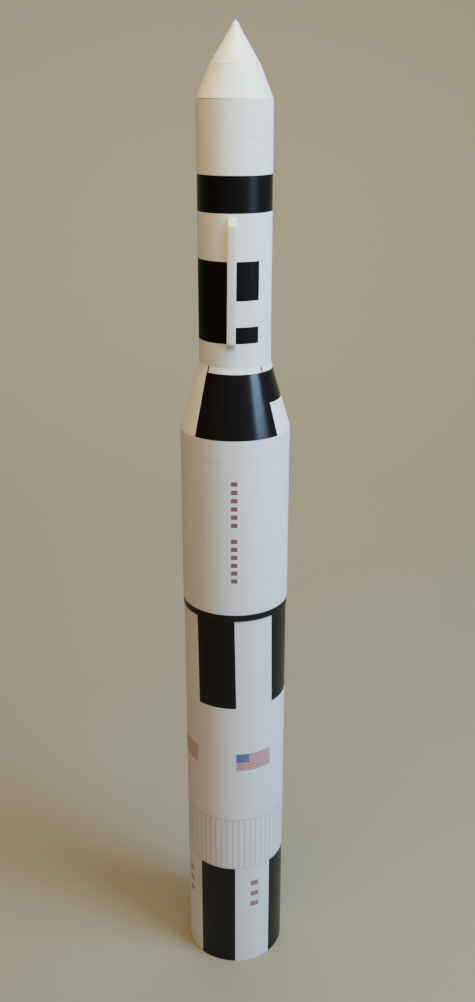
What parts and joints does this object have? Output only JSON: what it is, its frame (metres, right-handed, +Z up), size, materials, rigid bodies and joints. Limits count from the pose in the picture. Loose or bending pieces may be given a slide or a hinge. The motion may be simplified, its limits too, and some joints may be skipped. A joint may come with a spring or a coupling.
{
  "type": "card model space rocket",
  "caption": "Standing card model of a two-stage space rocket: printed card tubes and cones with a raised cable tunnel.",
  "frame": {"origin": "centre of the foot, on the surface the model stands on", "axes": "+Z up the rocket towards its nose, -Y the front with the cable tunnel, +X to the right seen from the front"},
  "size_m": [0.07, 0.07, 0.641],
  "materials": {
    "white_card": "matt white card, printed",
    "black_print": "black printed card with a soft sheen",
    "grey_card": "unprinted grey board"
  },
  "bodies": {
    "root": {"base_disc": "grey_card", "base_tube": "white_card", "ribbed_band": "white_card", "lower_stage_tube": "white_card", "big_stage_ring": "black_print", "big_stage_tube": "white_card", "adapter_cone": "white_card", "upper_stage_tube": "white_card", "upper_stage_collar": "white_card", "cable_tunnel": "white_card", "black_band": "black_print", "payload_tube_lower": "white_card", "payload_tube_upper": "white_card", "nose_cone_lower": "white_card", "nose_cone_upper": "white_card", "nose_tip": "white_card"}
  },
  "joints": []
}
